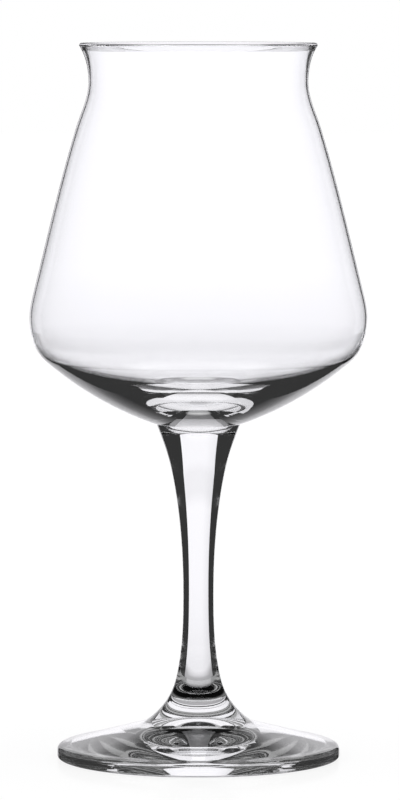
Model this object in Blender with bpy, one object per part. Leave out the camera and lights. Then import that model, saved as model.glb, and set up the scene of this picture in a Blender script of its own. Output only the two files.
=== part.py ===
"""A stemmed drinking glass with a rounded bowl and a flared lip, fused from a bowl, a stem and a foot.

Lengths are in metres and +Z is up. The origin is the centre of the ring that the foot rests on.
"""

from collections import namedtuple
from math import atan2, ceil, cos, hypot, pi, radians, remainder, sin, tau

import bmesh
import bpy
from mathutils import Vector
from mathutils.geometry import interpolate_bezier

# Heights, one above the other from the table to the rim
FOOT_EDGE = 0.0044
FOOT_RISE = 0.0066
STEM_LOWER = 0.0354
STEM_UPPER = 0.0485
BASE_RISE = 0.0301
SHOULDER_RISE = 0.0664
LIP_RISE = 0.0110

# Outside radii at those heights
FOOT_RADIUS = 0.0400
CROWN_RADIUS = 0.0140
WAIST_RADIUS = 0.0043
COLLAR_RADIUS = 0.0118
BELLY_RADIUS = 0.0477
NECK_RADIUS = 0.0309
RIM_RADIUS = 0.0335

# Foot: upright band round the edge, flat resting ring, hollow underside and a dome pressed up under the stem
EDGE_SOFTENING = 0.0040
BAND_TOP = 0.0024
BAND_LOW = 0.0008
EDGE_UNDERCUT = 0.0020
REST_WIDTH = 0.0026
HOLLOW_RISE = 0.0029
HOLLOW_SLOPE = radians(4.5)
DOME_RADIUS = 0.0105
DOME_RISE = 0.0046
DOME_SLOPE = radians(40)
FILLET_RUN = 0.0028
FILLET_DROP = 0.0014
CROWN_SLOPE = radians(37.6)

# Stem: how it swells from its waist to the root below and the collar above
ROOT_LENGTH = 0.01095
ROOT_SWELL = 0.0022
ROOT_LEAN = radians(14)
FLARE_LENGTH = 0.0128
FLARE_SWELL = 0.00335
FLARE_LEAN = radians(12.1)
COLLAR_LEAN = radians(21.3)

# Bowl outside: the turns between the collar, the belly, the neck and the rim
COLLAR_SLOPE = radians(18.7)
HAUNCH_DROP = 0.0121
HAUNCH_INSET = 0.00465
HAUNCH_SLOPE = radians(40.7)
SHOULDER_LIFT = 0.0075
SHOULDER_INSET = 0.00125
SHOULDER_LEAN = radians(14.1)
THROAT_DROP = 0.0129
THROAT_SWELL = 0.00355
THROAT_LEAN = radians(17.1)
RIM_LEAN = radians(32.6)

# Bowl inside: an even wall down to a knuckle above the haunch, then a wedge that thickens inwards to the floor
WALL = 0.0006
RIM_BEAD = 0.00125
KNUCKLE_SHARE = 0.417
HAUNCH_WALL = 0.00073
HAUNCH_WEDGE = radians(2.9)
FLOOR_SHARE = 0.767
FLOOR_WALL = 0.0015
FLOOR_WEDGE = radians(8.1)
FLOOR_DEPTH = 0.0069

# The pieces are fused, and this sliver marks each fused face
FUSE_GAP = 0.0003

# Fineness of the surfaces
SEGMENTS = 48
FACET_TURN = radians(12)
LEAST_FACETS = 4
CREASE = radians(30)
WELD = 1e-6

GLASS_COLOUR = (0.96, 0.97, 0.98, 1)
GLASS_ROUGHNESS = 0.02
GLASS_IOR = 1.52

UP = pi / 2
DOWN = -pi / 2
INWARD = pi

# A place on an outline and the direction in which the outline passes through it
Station = namedtuple("Station", "radius height heading")


def place(station):
    return Vector((station.radius, station.height))


def along(heading):
    return Vector((cos(heading), sin(heading)))


def handles(start, finish):
    """The corners of a cubic that leaves start and reaches finish along their headings, as an arc would."""
    turn = abs(remainder(finish.heading - start.heading, tau))
    chord = hypot(finish.radius - start.radius, finish.height - start.height)
    reach = chord / (3 * cos(turn / 4) ** 2)
    first, last = place(start), place(finish)
    return first, first + reach * along(start.heading), last - reach * along(finish.heading), last


def bend(start, finish):
    """The points of that cubic."""
    turn = abs(remainder(finish.heading - start.heading, tau))
    facets = max(LEAST_FACETS, ceil(turn / FACET_TURN))
    return interpolate_bezier(*handles(start, finish), facets + 1)


def part_way(start, finish, share):
    """The station at a share of the bend from start to finish."""
    first, leave, arrive, last = handles(start, finish)
    out, over, back = first.lerp(leave, share), leave.lerp(arrive, share), arrive.lerp(last, share)
    before, after = out.lerp(over, share), over.lerp(back, share)
    point, ahead = before.lerp(after, share), after - before
    return Station(point.x, point.y, atan2(ahead.y, ahead.x))


def smooth(*stations):
    """The outline that runs through the stations with one bend between each two."""
    points = [place(stations[0])]
    for start, finish in zip(stations, stations[1:]):
        points += bend(start, finish)[1:]
    return points


def reverse(station):
    return station._replace(heading=station.heading + pi)


def glass(name):
    material = bpy.data.materials.new(name + "_glass")
    material.use_nodes = True
    surface = material.node_tree.nodes["Principled BSDF"].inputs
    surface["Base Color"].default_value = GLASS_COLOUR
    surface["Roughness"].default_value = GLASS_ROUGHNESS
    surface["Metallic"].default_value = 0
    surface["IOR"].default_value = GLASS_IOR
    surface["Transmission Weight"].default_value = 1
    return material


def turned(name, outline, seat, parent):
    """Spin an outline once round Z into a closed solid that stands at the height of its seat."""
    solid = bmesh.new()
    points = [solid.verts.new((radius, 0, height)) for radius, height in outline]
    edges = [solid.edges.new(pair) for pair in zip(points, points[1:])]
    bmesh.ops.spin(solid, geom=points + edges, axis=(0, 0, 1), angle=tau, steps=SEGMENTS)
    bmesh.ops.remove_doubles(solid, verts=solid.verts, dist=WELD)
    bmesh.ops.recalc_face_normals(solid, faces=solid.faces)
    mesh = bpy.data.meshes.new(name)
    solid.to_mesh(mesh)
    solid.free()
    mesh.shade_smooth()
    mesh.set_sharp_from_angle(angle=CREASE)
    mesh.materials.append(glass(name))
    piece = bpy.data.objects.new(name, mesh)
    piece.location.z = seat
    piece.parent = parent
    bpy.context.collection.objects.link(piece)
    return piece


def foot_outline():
    """From the crown out over the cone, round the edge and back under the hollow to the dome."""
    crown = FOOT_EDGE + FOOT_RISE
    fillet = Vector((CROWN_RADIUS + FILLET_RUN, crown - FILLET_DROP))
    edge = Vector((FOOT_RADIUS - EDGE_SOFTENING, FOOT_EDGE))
    cone = atan2(edge.y - fillet.y, edge.x - fillet.x)
    rest_outer = FOOT_RADIUS - EDGE_UNDERCUT
    rest_inner = rest_outer - REST_WIDTH
    dome_edge = Vector((DOME_RADIUS, HOLLOW_RISE))
    lead_slope = 2 * atan2(dome_edge.y, rest_inner - dome_edge.x) - HOLLOW_SLOPE
    flare = smooth(
        Station(CROWN_RADIUS, crown, -CROWN_SLOPE),
        Station(fillet.x, fillet.y, cone),
    )
    shoulder = smooth(
        Station(edge.x, edge.y, cone),
        Station(FOOT_RADIUS, BAND_TOP, DOWN),
    )
    heel = smooth(
        Station(FOOT_RADIUS, BAND_LOW, DOWN),
        Station(rest_outer, 0, INWARD),
    )
    hollow = smooth(
        Station(rest_inner, 0, INWARD - lead_slope),
        Station(dome_edge.x, dome_edge.y, INWARD - HOLLOW_SLOPE),
    )
    dome = smooth(
        Station(dome_edge.x, dome_edge.y, INWARD - DOME_SLOPE),
        Station(0, dome_edge.y + DOME_RISE, INWARD),
    )
    return [Vector((0, crown))] + flare + shoulder + heel + hollow + dome[1:]


def underside(gap):
    """The rounded bottom of the bowl from the collar in to the axis, with the stem a gap below."""
    sag = COLLAR_RADIUS * (1 - cos(COLLAR_SLOPE)) / sin(COLLAR_SLOPE)
    return smooth(
        Station(COLLAR_RADIUS, -gap, INWARD + COLLAR_SLOPE),
        Station(0, -gap - sag, INWARD),
    )


def stem_outline():
    """From the dished seat of the bowl over the collar and the waist to the flat root."""
    top = STEM_LOWER + STEM_UPPER - FUSE_GAP
    dish = [point + Vector((0, top)) for point in reversed(underside(FUSE_GAP))]
    collar = top - FUSE_GAP
    side = smooth(
        Station(COLLAR_RADIUS, collar, DOWN - COLLAR_LEAN),
        Station(WAIST_RADIUS + FLARE_SWELL, collar - FLARE_LENGTH, DOWN - FLARE_LEAN),
        Station(WAIST_RADIUS, STEM_LOWER - FUSE_GAP, DOWN),
        Station(WAIST_RADIUS + ROOT_SWELL, ROOT_LENGTH, DOWN + ROOT_LEAN),
        Station(CROWN_RADIUS, 0, -CROWN_SLOPE),
    )
    return dish + side[1:] + [Vector((0, 0))]


def bowl_stations():
    """The outside of the bowl from the collar up to the flare below the rim."""
    belly = BASE_RISE
    neck = belly + SHOULDER_RISE
    bead = RIM_BEAD / 2
    middle = Vector((RIM_RADIUS - bead, neck + LIP_RISE - bead))
    end = middle + bead * along(-RIM_LEAN)
    return [
        Station(COLLAR_RADIUS, 0, COLLAR_SLOPE),
        Station(BELLY_RADIUS - HAUNCH_INSET, belly - HAUNCH_DROP, HAUNCH_SLOPE),
        Station(BELLY_RADIUS, belly, UP),
        Station(BELLY_RADIUS - SHOULDER_INSET, belly + SHOULDER_LIFT, UP + SHOULDER_LEAN),
        Station(NECK_RADIUS + THROAT_SWELL, neck - THROAT_DROP, UP + THROAT_LEAN),
        Station(NECK_RADIUS, neck, UP),
        Station(end.x, end.y, UP - RIM_LEAN),
    ]


def inside_of(station, wall=WALL, wedge=0):
    """The place straight across the wall, where the inside lies flatter by the wedge."""
    radius = station.radius - wall * sin(station.heading)
    return Station(radius, station.height + wall * cos(station.heading), station.heading - wedge)


def bowl_outline():
    """From the floor up the inside, over the rounded rim and down the outside to the bottom."""
    outside = bowl_stations()
    collar, haunch, belly, lip = outside[0], outside[1], outside[2], outside[-1]
    knuckle = part_way(haunch, belly, KNUCKLE_SHARE)
    floor = part_way(collar, haunch, FLOOR_SHARE)
    across = Station(
        lip.radius - RIM_BEAD * sin(lip.heading),
        lip.height + RIM_BEAD * cos(lip.heading),
        lip.heading,
    )
    crest = Station(
        (lip.radius + across.radius) / 2 + RIM_BEAD / 2 * cos(lip.heading),
        (lip.height + across.height) / 2 + RIM_BEAD / 2 * sin(lip.heading),
        lip.heading - UP,
    )
    inside = smooth(
        Station(0, FLOOR_DEPTH, 0),
        inside_of(floor, FLOOR_WALL, FLOOR_WEDGE),
        inside_of(haunch, HAUNCH_WALL, HAUNCH_WEDGE),
        *[inside_of(station) for station in [knuckle] + outside[2:-1]],
        across,
    )
    rim = smooth(across, crest, reverse(lip))
    down = smooth(*[reverse(station) for station in reversed(outside)])
    return inside + rim[1:] + down[1:] + underside(0)[1:]


def main():
    for leftover in list(bpy.data.objects):
        bpy.data.objects.remove(leftover)
    whole = bpy.data.objects.new("glass", None)
    bpy.context.collection.objects.link(whole)
    crown = FOOT_EDGE + FOOT_RISE
    collar = crown + STEM_LOWER + STEM_UPPER
    turned("foot", foot_outline(), 0, whole)
    turned("stem", stem_outline(), crown + FUSE_GAP, whole)
    turned("bowl", bowl_outline(), collar, whole)


main()
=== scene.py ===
from math import ceil, cos, hypot, pi, radians, remainder, sin

import bpy
import numpy as np
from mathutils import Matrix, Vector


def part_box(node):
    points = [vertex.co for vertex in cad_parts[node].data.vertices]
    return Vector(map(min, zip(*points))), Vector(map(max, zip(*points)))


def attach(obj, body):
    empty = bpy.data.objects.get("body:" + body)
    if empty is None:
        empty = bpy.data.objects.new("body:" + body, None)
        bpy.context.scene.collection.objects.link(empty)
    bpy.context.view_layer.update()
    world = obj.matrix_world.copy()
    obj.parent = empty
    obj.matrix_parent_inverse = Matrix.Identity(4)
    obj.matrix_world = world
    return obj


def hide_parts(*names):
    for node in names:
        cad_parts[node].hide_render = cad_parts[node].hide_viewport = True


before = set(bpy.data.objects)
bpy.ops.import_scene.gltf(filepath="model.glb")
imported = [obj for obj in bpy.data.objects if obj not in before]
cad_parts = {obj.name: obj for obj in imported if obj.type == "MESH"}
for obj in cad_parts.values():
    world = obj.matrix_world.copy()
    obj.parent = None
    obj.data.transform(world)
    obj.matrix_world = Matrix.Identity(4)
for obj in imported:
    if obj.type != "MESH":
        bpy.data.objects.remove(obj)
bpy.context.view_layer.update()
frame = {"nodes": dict(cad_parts)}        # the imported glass: bowl, stem and foot, all on the body root
scene = bpy.context.scene
scene.view_settings.view_transform = "Standard"
print("frame loaded:", ", ".join(frame["nodes"]))


# a Wire is a node's output, and + - * / between wires and numbers add Math nodes
class Wire:
    def __init__(self, tree, socket=None):
        self.tree = tree
        self.socket = socket

    def node(self, kind, settings=None, output=0, **inputs):
        made = self.tree.nodes.new(kind)
        for name, value in (settings or {}).items():
            setattr(made, name, value)
        for name, value in inputs.items():
            plug(self.tree, findInput(made, name), value)
        return Wire(self.tree, made.outputs[output] if made.outputs else None)

    def reckon(self, operation, a, b):
        return self.node("ShaderNodeMath", dict(operation=operation), in0=a, in1=b)

    def __add__(self, other):
        return self.reckon("ADD", self, other)

    def __radd__(self, other):
        return self.reckon("ADD", other, self)

    def __sub__(self, other):
        return self.reckon("SUBTRACT", self, other)

    def __rsub__(self, other):
        return self.reckon("SUBTRACT", other, self)

    def __mul__(self, other):
        return self.reckon("MULTIPLY", self, other)

    def __rmul__(self, other):
        return self.reckon("MULTIPLY", other, self)

    def __truediv__(self, other):
        return self.reckon("DIVIDE", self, other)

    def __rtruediv__(self, other):
        return self.reckon("DIVIDE", other, self)


def plug(tree, socket, value):
    if isinstance(value, Wire):
        tree.links.new(value.socket, socket)
    else:
        socket.default_value = value


def findInput(node, name):
    # inputs are named in camelCase here: baseColor is Base Color, and in0 is the first input
    if name.startswith("in") and name[2:].isdigit():
        return node.inputs[int(name[2:])]
    wanted = name.lower()
    return next(s for s in node.inputs if s.name.replace(" ", "").lower() == wanted)


def newMaterial(name):
    material = bpy.data.materials.new(name)
    material.use_nodes = True
    material.node_tree.nodes.clear()
    return material, Wire(material.node_tree)


def surface(start, shader):
    start.node("ShaderNodeOutputMaterial", surface=shader)


def ramp(start, value, low, high):
    # 0 up to low, 1 from high on, and even between them
    return start.node("ShaderNodeClamp", in0=(value - low) / (high - low))


def ownPlace(start):
    # the point in the piece's own Object coordinates
    return start.node("ShaderNodeTexCoord", output=3)


def lengthOf(start, vector):
    return start.node("ShaderNodeVectorMath", dict(operation="LENGTH"), output=1, in0=vector)


# outlines: a place is (radius, height, heading), with a heading of 0 outwards and 90 straight up
def handles(start, finish):
    # the four corners of a cubic along both headings, with handles of chord / 3 cos^2(turn / 4),
    # which is an arc where the turn is even
    (r0, z0, a0), (r1, z1, a1) = start, finish
    a0, a1 = radians(a0), radians(a1)
    turn = abs(remainder(a1 - a0, 2 * pi))
    chord = hypot(r1 - r0, z1 - z0)
    reach = chord / (3 * cos(turn / 4) ** 2)
    p0, p3 = np.array([r0, z0]), np.array([r1, z1])
    p1 = p0 + reach * np.array([cos(a0), sin(a0)])
    p2 = p3 - reach * np.array([cos(a1), sin(a1)])
    return (p0, p1, p2, p3), chord, turn


def cubic(corners, t):
    # the corners weighed by (1 - t)^3, 3 (1 - t)^2 t, 3 (1 - t) t^2 and t^3
    p0, p1, p2, p3 = corners
    return (1 - t) ** 3 * p0 + 3 * (1 - t) ** 2 * t * p1 + 3 * (1 - t) * t ** 2 * p2 + t ** 3 * p3


def bend(start, finish, stepLength=0.0012, stepTurn=3, fewest=8):
    # points at t = (1 - cos a) / 2 for even steps of a, which bunches them towards both ends
    corners, chord, turn = handles(start, finish)
    count = max(fewest, ceil(chord / stepLength), ceil(turn / radians(stepTurn)))
    return cubic(corners, (1 - np.cos(np.linspace(0, pi, count + 1)))[:, None] / 2)


def partWay(start, finish, t):
    # the place at share t of a bend, whose heading is the slope of the cubic there
    corners = handles(start, finish)[0]
    r, z = cubic(corners, t)
    p0, p1, p2, p3 = corners
    dr, dz = (1 - t) ** 2 * (p1 - p0) + 2 * (1 - t) * t * (p2 - p1) + t ** 2 * (p3 - p2)
    return r, z, np.degrees(np.arctan2(dz, dr))


def smooth(*places):
    # bends from place to place, with each shared point kept once
    runs = [bend(a, b) for a, b in zip(places, places[1:])]
    return np.concatenate([runs[0]] + [run[1:] for run in runs[1:]])


def back(place):
    # the same place, passed the other way
    radius, height, heading = place
    return radius, height, heading + 180


def flat(start, finish, count=5):
    # points evenly along a flat face, from one (radius, height) to another
    return np.linspace(start, finish, count)


def turned(name, outline, fused, around=256, sharpFrom=25):
    # the outline (radius r, height z) turned round Z: x = r cos t, y = r sin t, with a pole at each end
    # fused is true for each stretch of the outline that is melted to the next piece
    r, z = outline[1:-1].T
    t = np.linspace(0, 2 * pi, around, endpoint=False)
    rings = np.stack([np.outer(r, np.cos(t)), np.outer(r, np.sin(t)), np.outer(z, np.ones(around))], -1)
    poles = [[0, 0, outline[0, 1]], [0, 0, outline[-1, 1]]]
    points = np.concatenate([rings.reshape(-1, 3), poles])
    j = np.arange(around)
    k = (j + 1) % around
    row = np.arange(len(r) - 1)[:, None] * around
    quads = np.stack([row + j, row + around + j, row + around + k, row + k], -1).reshape(-1, 4)
    end = (len(r) - 1) * around
    topFan = np.stack([np.full(around, len(points) - 2), j, k], -1)
    lowFan = np.stack([end + j, np.full(around, len(points) - 1), end + k], -1)
    corners = np.concatenate([topFan.ravel(), quads.ravel(), lowFan.ravel()])
    sizes = np.concatenate([np.full(around, 3), np.full(len(quads), 4), np.full(around, 3)])
    mesh = bpy.data.meshes.new(name)
    mesh.vertices.add(len(points))
    mesh.vertices.foreach_set("co", points.ravel())
    mesh.loops.add(len(corners))
    mesh.loops.foreach_set("vertex_index", corners)
    mesh.polygons.add(len(sizes))
    mesh.polygons.foreach_set("loop_start", np.cumsum(sizes) - sizes)
    mesh.polygons.foreach_set("material_index", np.repeat(np.asarray(fused, int), around))
    mesh.update(calc_edges=True)
    mesh.validate()
    mesh.shade_smooth()
    mesh.set_sharp_from_angle(angle=radians(sharpFrom))
    piece = bpy.data.objects.new(name, mesh)
    scene.collection.objects.link(piece)
    return piece


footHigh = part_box("foot")[1]
stemLow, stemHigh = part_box("stem")
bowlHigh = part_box("bowl")[1]
crown = footHigh.z                      # top of the foot, where the stem stands
fuseGap = stemLow.z - crown             # the solids leave this sliver, and the glass closes it
collar = stemHigh.z + fuseGap           # foot of the bowl
top = bowlHigh.z


# finish of the glass: faint streaks in the tint and the polish, as in drawn and blown glass
glassLook = dict(
    clear=(0.994, 0.996, 1.0, 1), streak=(0.984, 0.988, 0.996, 1),
    streakScale=70, streakStretch=0.12, streakDetail=3.0,
    polish=0.004, wear=0.02, wearScale=400, wearDetail=2.0,
    ior=1.52, thinIor=1.1, gradeFade=0.0006,
)


def glassMaterial(name, grades=()):
    # each grade is a place on the outline and the index of the glass from there on upwards
    material, start = newMaterial(name)
    s = glassLook
    place = ownPlace(start)
    drawn = start.node("ShaderNodeMapping", vector=place, scale=(1, 1, s["streakStretch"]))
    streaks = start.node("ShaderNodeTexNoise", vector=drawn, scale=s["streakScale"],
                         detail=s["streakDetail"])
    tint = start.node("ShaderNodeMix", dict(data_type="RGBA"), output=2,
                      in0=streaks, in6=s["clear"], in7=s["streak"])
    marks = start.node("ShaderNodeTexNoise", vector=place, scale=s["wearScale"], detail=s["wearDetail"])
    rough = s["polish"] + marks * (s["wear"] - s["polish"])
    height = start.node("ShaderNodeSeparateXYZ", output=2, in0=place)
    level = start.node("ShaderNodeVectorMath", dict(operation="MULTIPLY"), in0=place, in1=(1, 1, 0))
    radius = lengthOf(start, level)

    def glass(ior):
        return start.node("ShaderNodeBsdfPrincipled", baseColor=tint, ior=ior, roughness=rough,
                          transmissionWeight=1.0)

    shader = glass(s["ior"])
    for (r, z, a), ior in grades:
        above = (radius - r) * cos(radians(a)) + (height - z) * sin(radians(a))
        shader = start.node("ShaderNodeMixShader", in0=ramp(start, above, 0, s["gradeFade"]),
                            in1=shader, in2=glass(ior))
    surface(start, shader)
    return material


def fusedMaterial():
    # melted faces bend no light, so the three pieces read as one body of glass
    material, start = newMaterial("fused_face")
    surface(start, start.node("ShaderNodeBsdfPrincipled", alpha=0.0))
    return material


fusedFace = fusedMaterial()


def dress(piece, node, grades=()):
    piece.data.materials.append(glassMaterial(node + "_clear", grades))
    piece.data.materials.append(fusedFace)
    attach(piece, "root")
    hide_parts(node)


# foot: a shallow cone with an upright edge, a resting ring, and a hollow with a small dome under it
footShape = dict(
    crownRadius=0.0140, crownSlope=37.6,
    filletRun=0.0028, filletDrop=0.0014,
    edge=0.0044, edgeSoftening=0.004, bandTop=0.0024, bandLow=0.0008, edgeUndercut=0.002,
    restWidth=0.0026, kneeRadius=0.0105, kneeRise=0.0029, kneeSlope=4.5,
    domeSlope=40, hollowRise=0.0075,
)


def makeFoot():
    s = footShape
    radius = footHigh.x
    fillet = (s["crownRadius"] + s["filletRun"], crown - s["filletDrop"])
    edge = (radius - s["edgeSoftening"], s["edge"])
    cone = np.degrees(np.arctan2(edge[1] - fillet[1], edge[0] - fillet[0]))
    restOuter = radius - s["edgeUndercut"]
    restInner = restOuter - s["restWidth"]
    knee = (s["kneeRadius"], s["kneeRise"], 180 - s["kneeSlope"])
    chord = np.degrees(np.arctan2(s["kneeRise"], restInner - s["kneeRadius"]))
    hollow = 2 * chord - s["kneeSlope"]
    face = flat((0, crown), (s["crownRadius"], crown))
    side = smooth((s["crownRadius"], crown, -s["crownSlope"]), (*fillet, cone), (*edge, cone),
                  (radius, s["bandTop"], -90), (radius, s["bandLow"], -90), (restOuter, 0, -180))
    ring = flat((restOuter, 0), (restInner, 0))
    under = smooth((restInner, 0, 180 - hollow), knee)
    dome = smooth((*knee[:2], 180 - s["domeSlope"]), (0, s["hollowRise"], 180))
    outline = np.concatenate([face, side[1:], ring[1:], under[1:], dome[1:]])
    fused = np.arange(len(outline) - 1) < len(face) - 1
    dress(turned("foot_turned", outline, fused), "foot")


# the rounded bottom of the bowl, which sits in the dished top of the stem
collarShape = dict(radius=0.0118, slope=18.7)


def collarFace():
    radius, slope = collarShape["radius"], collarShape["slope"]
    sag = radius * np.tan(radians(slope) / 2)
    return smooth((radius, collar, 180 + slope), (0, collar - sag, 180))


# stem: a waisted rod between the collar and the crown
stemShape = dict(
    waistRadius=0.0043, waistRise=0.0354,
    rootLength=0.01095, rootSwell=0.0022, rootLean=14,
    flareLength=0.0128, flareSwell=0.00335, flareLean=12.1,
    collarLean=21.3,
)


def makeStem():
    s = stemShape
    dish = collarFace()[::-1]
    side = smooth(
        (collarShape["radius"], collar, -90 - s["collarLean"]),
        (s["waistRadius"] + s["flareSwell"], collar - s["flareLength"], -90 - s["flareLean"]),
        (s["waistRadius"], crown + s["waistRise"], -90),
        (s["waistRadius"] + s["rootSwell"], crown + s["rootLength"], -90 + s["rootLean"]),
        (footShape["crownRadius"], crown, -footShape["crownSlope"]))
    face = flat(side[-1], (0, crown))
    outline = np.concatenate([dish, side[1:], face[1:]])
    stretch = np.arange(len(outline) - 1)
    fused = (stretch < len(dish) - 1) | (stretch >= len(outline) - len(face))
    dress(turned("stem_turned", outline, fused), "stem")


# bowl: haunch, belly, long shoulder, pinched neck and flared lip
bowlShape = dict(
    bellyRise=0.0301, neckDrop=0.0110, neckRadius=0.0309, rimRadius=0.0335, rimLean=32.6,
    haunchDrop=0.0121, haunchInset=0.00465, haunchSlope=40.7,
    shoulderLift=0.0075, shoulderInset=0.00125, shoulderLean=14.1,
    throatDrop=0.0129, throatSwell=0.00355, throatLean=17.1,
    rimWall=0.00125, wall=0.0006, knuckleShare=0.417,
    thinFrom=0.1, thinTo=0.7, thinSteps=12, beadShare=0.85,
    haunchWall=0.00073, haunchWedge=2.9,
    floorShare=0.767, floorWall=0.0015, floorWedge=8.1, floorDepth=0.0069,
)


def makeBowl():
    s = bowlShape
    belly, neck = collar + s["bellyRise"], top - s["neckDrop"]
    radius = bowlHigh.x
    bead = s["rimWall"] / 2
    lean = radians(s["rimLean"])
    rim = (s["rimRadius"] - bead + bead * cos(lean), top - bead - bead * sin(lean), 90 - s["rimLean"])
    outside = [
        (collarShape["radius"], collar, collarShape["slope"]),
        (radius - s["haunchInset"], belly - s["haunchDrop"], s["haunchSlope"]),
        (radius, belly, 90),
        (radius - s["shoulderInset"], belly + s["shoulderLift"], 90 + s["shoulderLean"]),
        (s["neckRadius"] + s["throatSwell"], neck - s["throatDrop"], 90 + s["throatLean"]),
        (s["neckRadius"], neck, 90),
        rim,
    ]
    haunch, girth, pinch = outside[1], outside[2], outside[5]

    def across(place, wall=s["wall"], wedge=0):  # straight through the wall, whose inside may lean
        r, z, heading = place
        return r - wall * sin(radians(heading)), z + wall * cos(radians(heading)), heading - wedge

    far = (rim[0] - 2 * bead * cos(lean), rim[1] + 2 * bead * sin(lean), rim[2])
    crest = ((rim[0] + far[0]) / 2 + bead * sin(lean),
             (rim[1] + far[1]) / 2 + bead * cos(lean), -s["rimLean"])
    knuckle = partWay(haunch, girth, s["knuckleShare"])
    # the thin wall bends and mirrors little: its index falls in steps above the haunch, up to the bead
    steps = np.linspace(0, 1, s["thinSteps"] + 1)[1:]
    shares = s["thinFrom"] + (s["thinTo"] - s["thinFrom"]) * steps
    iors = glassLook["ior"] + (glassLook["thinIor"] - glassLook["ior"]) * steps
    grades = [(partWay(haunch, girth, share), ior) for share, ior in zip(shares, iors)]
    grades.append((partWay(pinch, rim, s["beadShare"]), glassLook["ior"]))
    floor = partWay(outside[0], haunch, s["floorShare"])
    inside = smooth((0, collar + s["floorDepth"], 0),
                    across(floor, s["floorWall"], s["floorWedge"]),
                    across(haunch, s["haunchWall"], s["haunchWedge"]),
                    *[across(p) for p in [knuckle] + outside[2:-1]], far)
    lip = smooth(far, crest, back(rim))
    down = smooth(*[back(p) for p in outside[::-1]])
    bottom = collarFace()
    outline = np.concatenate([inside, lip[1:], down[1:], bottom[1:]])
    fused = np.arange(len(outline) - 1) >= len(outline) - len(bottom)
    dress(turned("bowl_turned", outline, fused), "bowl", grades)


makeFoot()
makeStem()
makeBowl()


# camera: a long lens that looks a little down, with the axis of the glass just left of the middle
cameraView = dict(distance=1.4785, height=0.2204, aim=0.1017, aside=0.00045, lens=236.2)


def makeCamera():
    v = cameraView
    data = bpy.data.cameras.new("camera")
    data.lens = v["lens"]
    camera = bpy.data.objects.new("camera", data)
    camera.location = (v["aside"], -v["distance"], v["height"])
    camera.rotation_euler = (pi / 2 - np.arctan2(v["height"] - v["aim"], v["distance"]), 0, 0)
    scene.collection.objects.link(camera)
    scene.camera = camera
    return camera


camera = makeCamera()
print("camera placed")


# light: a white room that glass sees as dark, but for the panels behind it, the glowing disc of painted
# shade under the foot and the ground far below; a panel's levels are pairs of a height and the share of
# light there
studio = dict(
    white=(1, 1, 1, 1), ambient=1.0, dark=0.035, ground=0.95, groundFrom=(0.86, 0.94), bounces=32,
    panelBack=0.20, panelLeft=0.104, panelRight=0.0933,
    panelLight=1.1, panelTint=(0.98, 0.97, 1.0, 1),
    panel=dict(
        low=-0.14, high=0.33, spread=0.036, side=(-0.6, -0.03),
        waist=0.10, chest=0.185, upperLeft=0.078, upperRight=0.071,
        levels=((-0.14, 0.25), (-0.07, 0.45), (-0.05, 0.85), (0.03, 0.98), (0.08, 1.0), (0.092, 0.9),
                (0.108, 0.9), (0.128, 0.98), (0.23, 1.0), (0.27, 0.45), (0.33, 0.45))),
    sheenPanel=dict(
        low=-0.14, high=0.2, spread=0.0, side=(-0.3, -0.03),
        waist=0.1, chest=0.15, upperLeft=0.0933, upperRight=0.0933,
        levels=((-0.1, 0.04), (-0.03, 0.5), (0.0, 0.95), (0.10, 1.0), (0.14, 0.04), (0.2, 0.04))),
    # the mat glows as painted shade: grey for the floor shaded by the glass, with a dark core of painted
    # shadow under the stem
    matRadius=0.041, matCore=(0.018, 0.028), matLight=0.42, matDrop=0.0003,
    floorRadius=6.0, floorColour=(0.94, 0.94, 0.94, 1), floorGrain=(0.9, 0.9, 0.9, 1),
    grainScale=900.0, grainDetail=2.0, floorGlow=0.85, floorLight=1.04,
    sheen=0.25, sheenIor=1.45, sheenReach=0.12, sheenRoughness=0.12,
)


def makeWorld():
    # dark for rays that leave glass or gloss, pale where they go steeply down, and white for the rest
    s = studio
    world = bpy.data.worlds.new("studio")
    world.use_nodes = True
    world.node_tree.nodes.clear()
    start = Wire(world.node_tree)
    path = world.node_tree.nodes.new("ShaderNodeLightPath")
    inGlass = start.node("ShaderNodeMath", dict(operation="MAXIMUM"),
                         in0=Wire(world.node_tree, path.outputs["Is Glossy Ray"]),
                         in1=Wire(world.node_tree, path.outputs["Is Transmission Ray"]))
    heading = start.node("ShaderNodeSeparateXYZ", output=2, in0=start.node("ShaderNodeTexCoord"))
    below = ramp(start, 0 - heading, *s["groundFrom"]) * (s["ground"] - s["dark"])
    level = inGlass * (s["dark"] + below) + (1 - inGlass) * s["ambient"]
    room = start.node("ShaderNodeBackground", strength=level, color=s["white"])
    start.node("ShaderNodeOutputWorld", surface=room)
    scene.world = world


def litSurface(start, share, light, colour):
    # black where the share is 0, and the whole light where it is 1
    black = start.node("ShaderNodeEmission", strength=0.0)
    lit = start.node("ShaderNodeEmission", strength=light, color=colour)
    surface(start, start.node("ShaderNodeMixShader", in0=share, in1=black, in2=lit))


def hideFrom(piece, *rays):
    for ray in rays:
        setattr(piece, "visible_" + ray, False)


def makeDisc(name, radius, drop=0, around=96):
    # a flat disc: x = radius cos t, y = radius sin t, and z below the floor by drop
    t = np.linspace(0, 2 * pi, around, endpoint=False)
    points = np.stack([radius * np.cos(t), radius * np.sin(t), 0 * t - drop], -1)
    mesh = bpy.data.meshes.new(name)
    mesh.from_pydata(points.tolist(), [], [list(range(len(t)))])
    disc = bpy.data.objects.new(name, mesh)
    scene.collection.objects.link(disc)
    return disc


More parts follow.
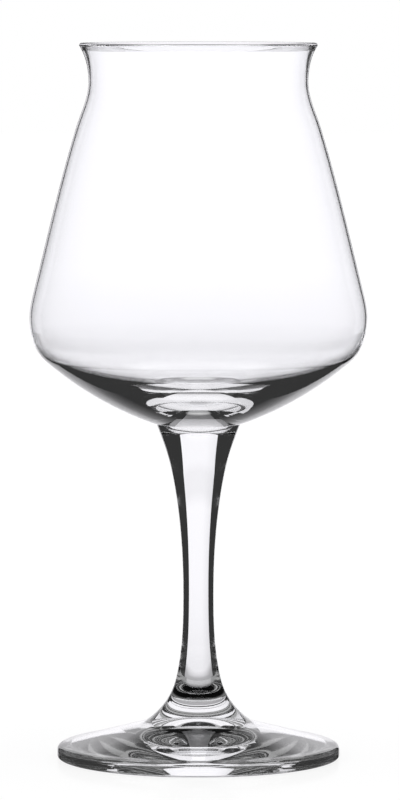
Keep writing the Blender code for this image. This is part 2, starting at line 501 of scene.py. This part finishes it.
def makeFloor():
    # white for the camera, with the shadow of the glass and a faint gloss near it
    s = studio
    floor = makeDisc("floor", s["floorRadius"])
    material, start = newMaterial("floor_white")
    path = material.node_tree.nodes.new("ShaderNodeLightPath")
    seen = Wire(material.node_tree, path.outputs["Is Camera Ray"])
    place = ownPlace(start)
    near = start.node("ShaderNodeClamp", in0=1 - lengthOf(start, place) / s["sheenReach"])
    grain = start.node("ShaderNodeTexNoise", vector=place, scale=s["grainScale"],
                       detail=s["grainDetail"])
    gloss = start.node("ShaderNodeFresnel", ior=s["sheenIor"]) * near * s["sheen"]
    colour = start.node("ShaderNodeMix", dict(data_type="RGBA"), output=2, in0=grain,
                        in6=s["floorColour"], in7=s["floorGrain"])
    paint = start.node("ShaderNodeBsdfDiffuse", color=colour)
    mirror = start.node("ShaderNodeBsdfGlossy", roughness=s["sheenRoughness"])
    glow = start.node("ShaderNodeEmission", strength=s["floorLight"])
    matt = start.node("ShaderNodeMixShader", in0=seen * s["floorGlow"], in1=paint, in2=glow)
    surface(start, start.node("ShaderNodeMixShader", in0=gloss, in1=matt, in2=mirror))
    floor.data.materials.append(material)
    hideFrom(floor, "glossy", "transmission")


def makeShadeMat():
    # a glowing disc of painted shade: the floor in the shade of the foot, as seen through the glass,
    # with a dark core that is a painted shadow under the stem
    s = studio
    mat = makeDisc("mat", s["matRadius"], s["matDrop"])
    material, start = newMaterial("mat_grey")
    distance = lengthOf(start, ownPlace(start))
    litSurface(start, ramp(start, distance, *s["matCore"]), s["matLight"], s["white"])
    mat.data.materials.append(material)
    hideFrom(mat, "camera", "diffuse", "shadow", "glossy")


def makePanel(rig, name, shape, otherRays):
    # an upright panel close behind the glass, from its spread foot over the waist to the slimmer chest
    # its light runs through the levels by height and fades to the left, and only glass sees it
    s = studio
    left, right, y = -s["panelLeft"], s["panelRight"], s["panelBack"]
    low, waist, chest, high = [shape[key] for key in ("low", "waist", "chest", "high")]
    corners = [(left - shape["spread"], low), (right + shape["spread"], low), (right, waist),
               (shape["upperRight"], chest), (shape["upperRight"], high),
               (-shape["upperLeft"], high), (-shape["upperLeft"], chest), (left, waist)]
    mesh = bpy.data.meshes.new(name)
    mesh.from_pydata([(x, y, z) for x, z in corners], [], [list(range(len(corners)))])
    panel = bpy.data.objects.new(name, mesh)
    panel.parent = rig
    scene.collection.objects.link(panel)
    material, start = newMaterial(name + "_white")
    place = ownPlace(start)
    across = start.node("ShaderNodeSeparateXYZ", output=0, in0=place)
    height = start.node("ShaderNodeSeparateXYZ", output=2, in0=place)
    levels = shape["levels"]
    share = 0
    for (z0, v0), (z1, v1) in zip(levels, levels[1:]):
        share = share + ramp(start, height, z0, z1) * (v1 - v0)
    share = (share + levels[0][1]) * ramp(start, across, *shape["side"])
    litSurface(start, share, s["panelLight"], s["panelTint"])
    mesh.materials.append(material)
    hideFrom(panel, "camera", "diffuse", "shadow", otherRays)


def makeRig():
    # the rig turns with the camera, so the panels stay behind the glass
    rig = bpy.data.objects.new("rig", None)
    scene.collection.objects.link(rig)
    follow = rig.constraints.new("LOCKED_TRACK")
    follow.target = camera
    follow.track_axis = "TRACK_NEGATIVE_Y"
    follow.lock_axis = "LOCK_Z"
    makePanel(rig, "panel", studio["panel"], "glossy")
    makePanel(rig, "panel_sheen", studio["sheenPanel"], "transmission")


makeWorld()
makeFloor()
makeShadeMat()
makeRig()
for limit in ("max_bounces", "glossy_bounces", "transmission_bounces", "transparent_max_bounces"):
    setattr(scene.cycles, limit, studio["bounces"])
print("studio ready")
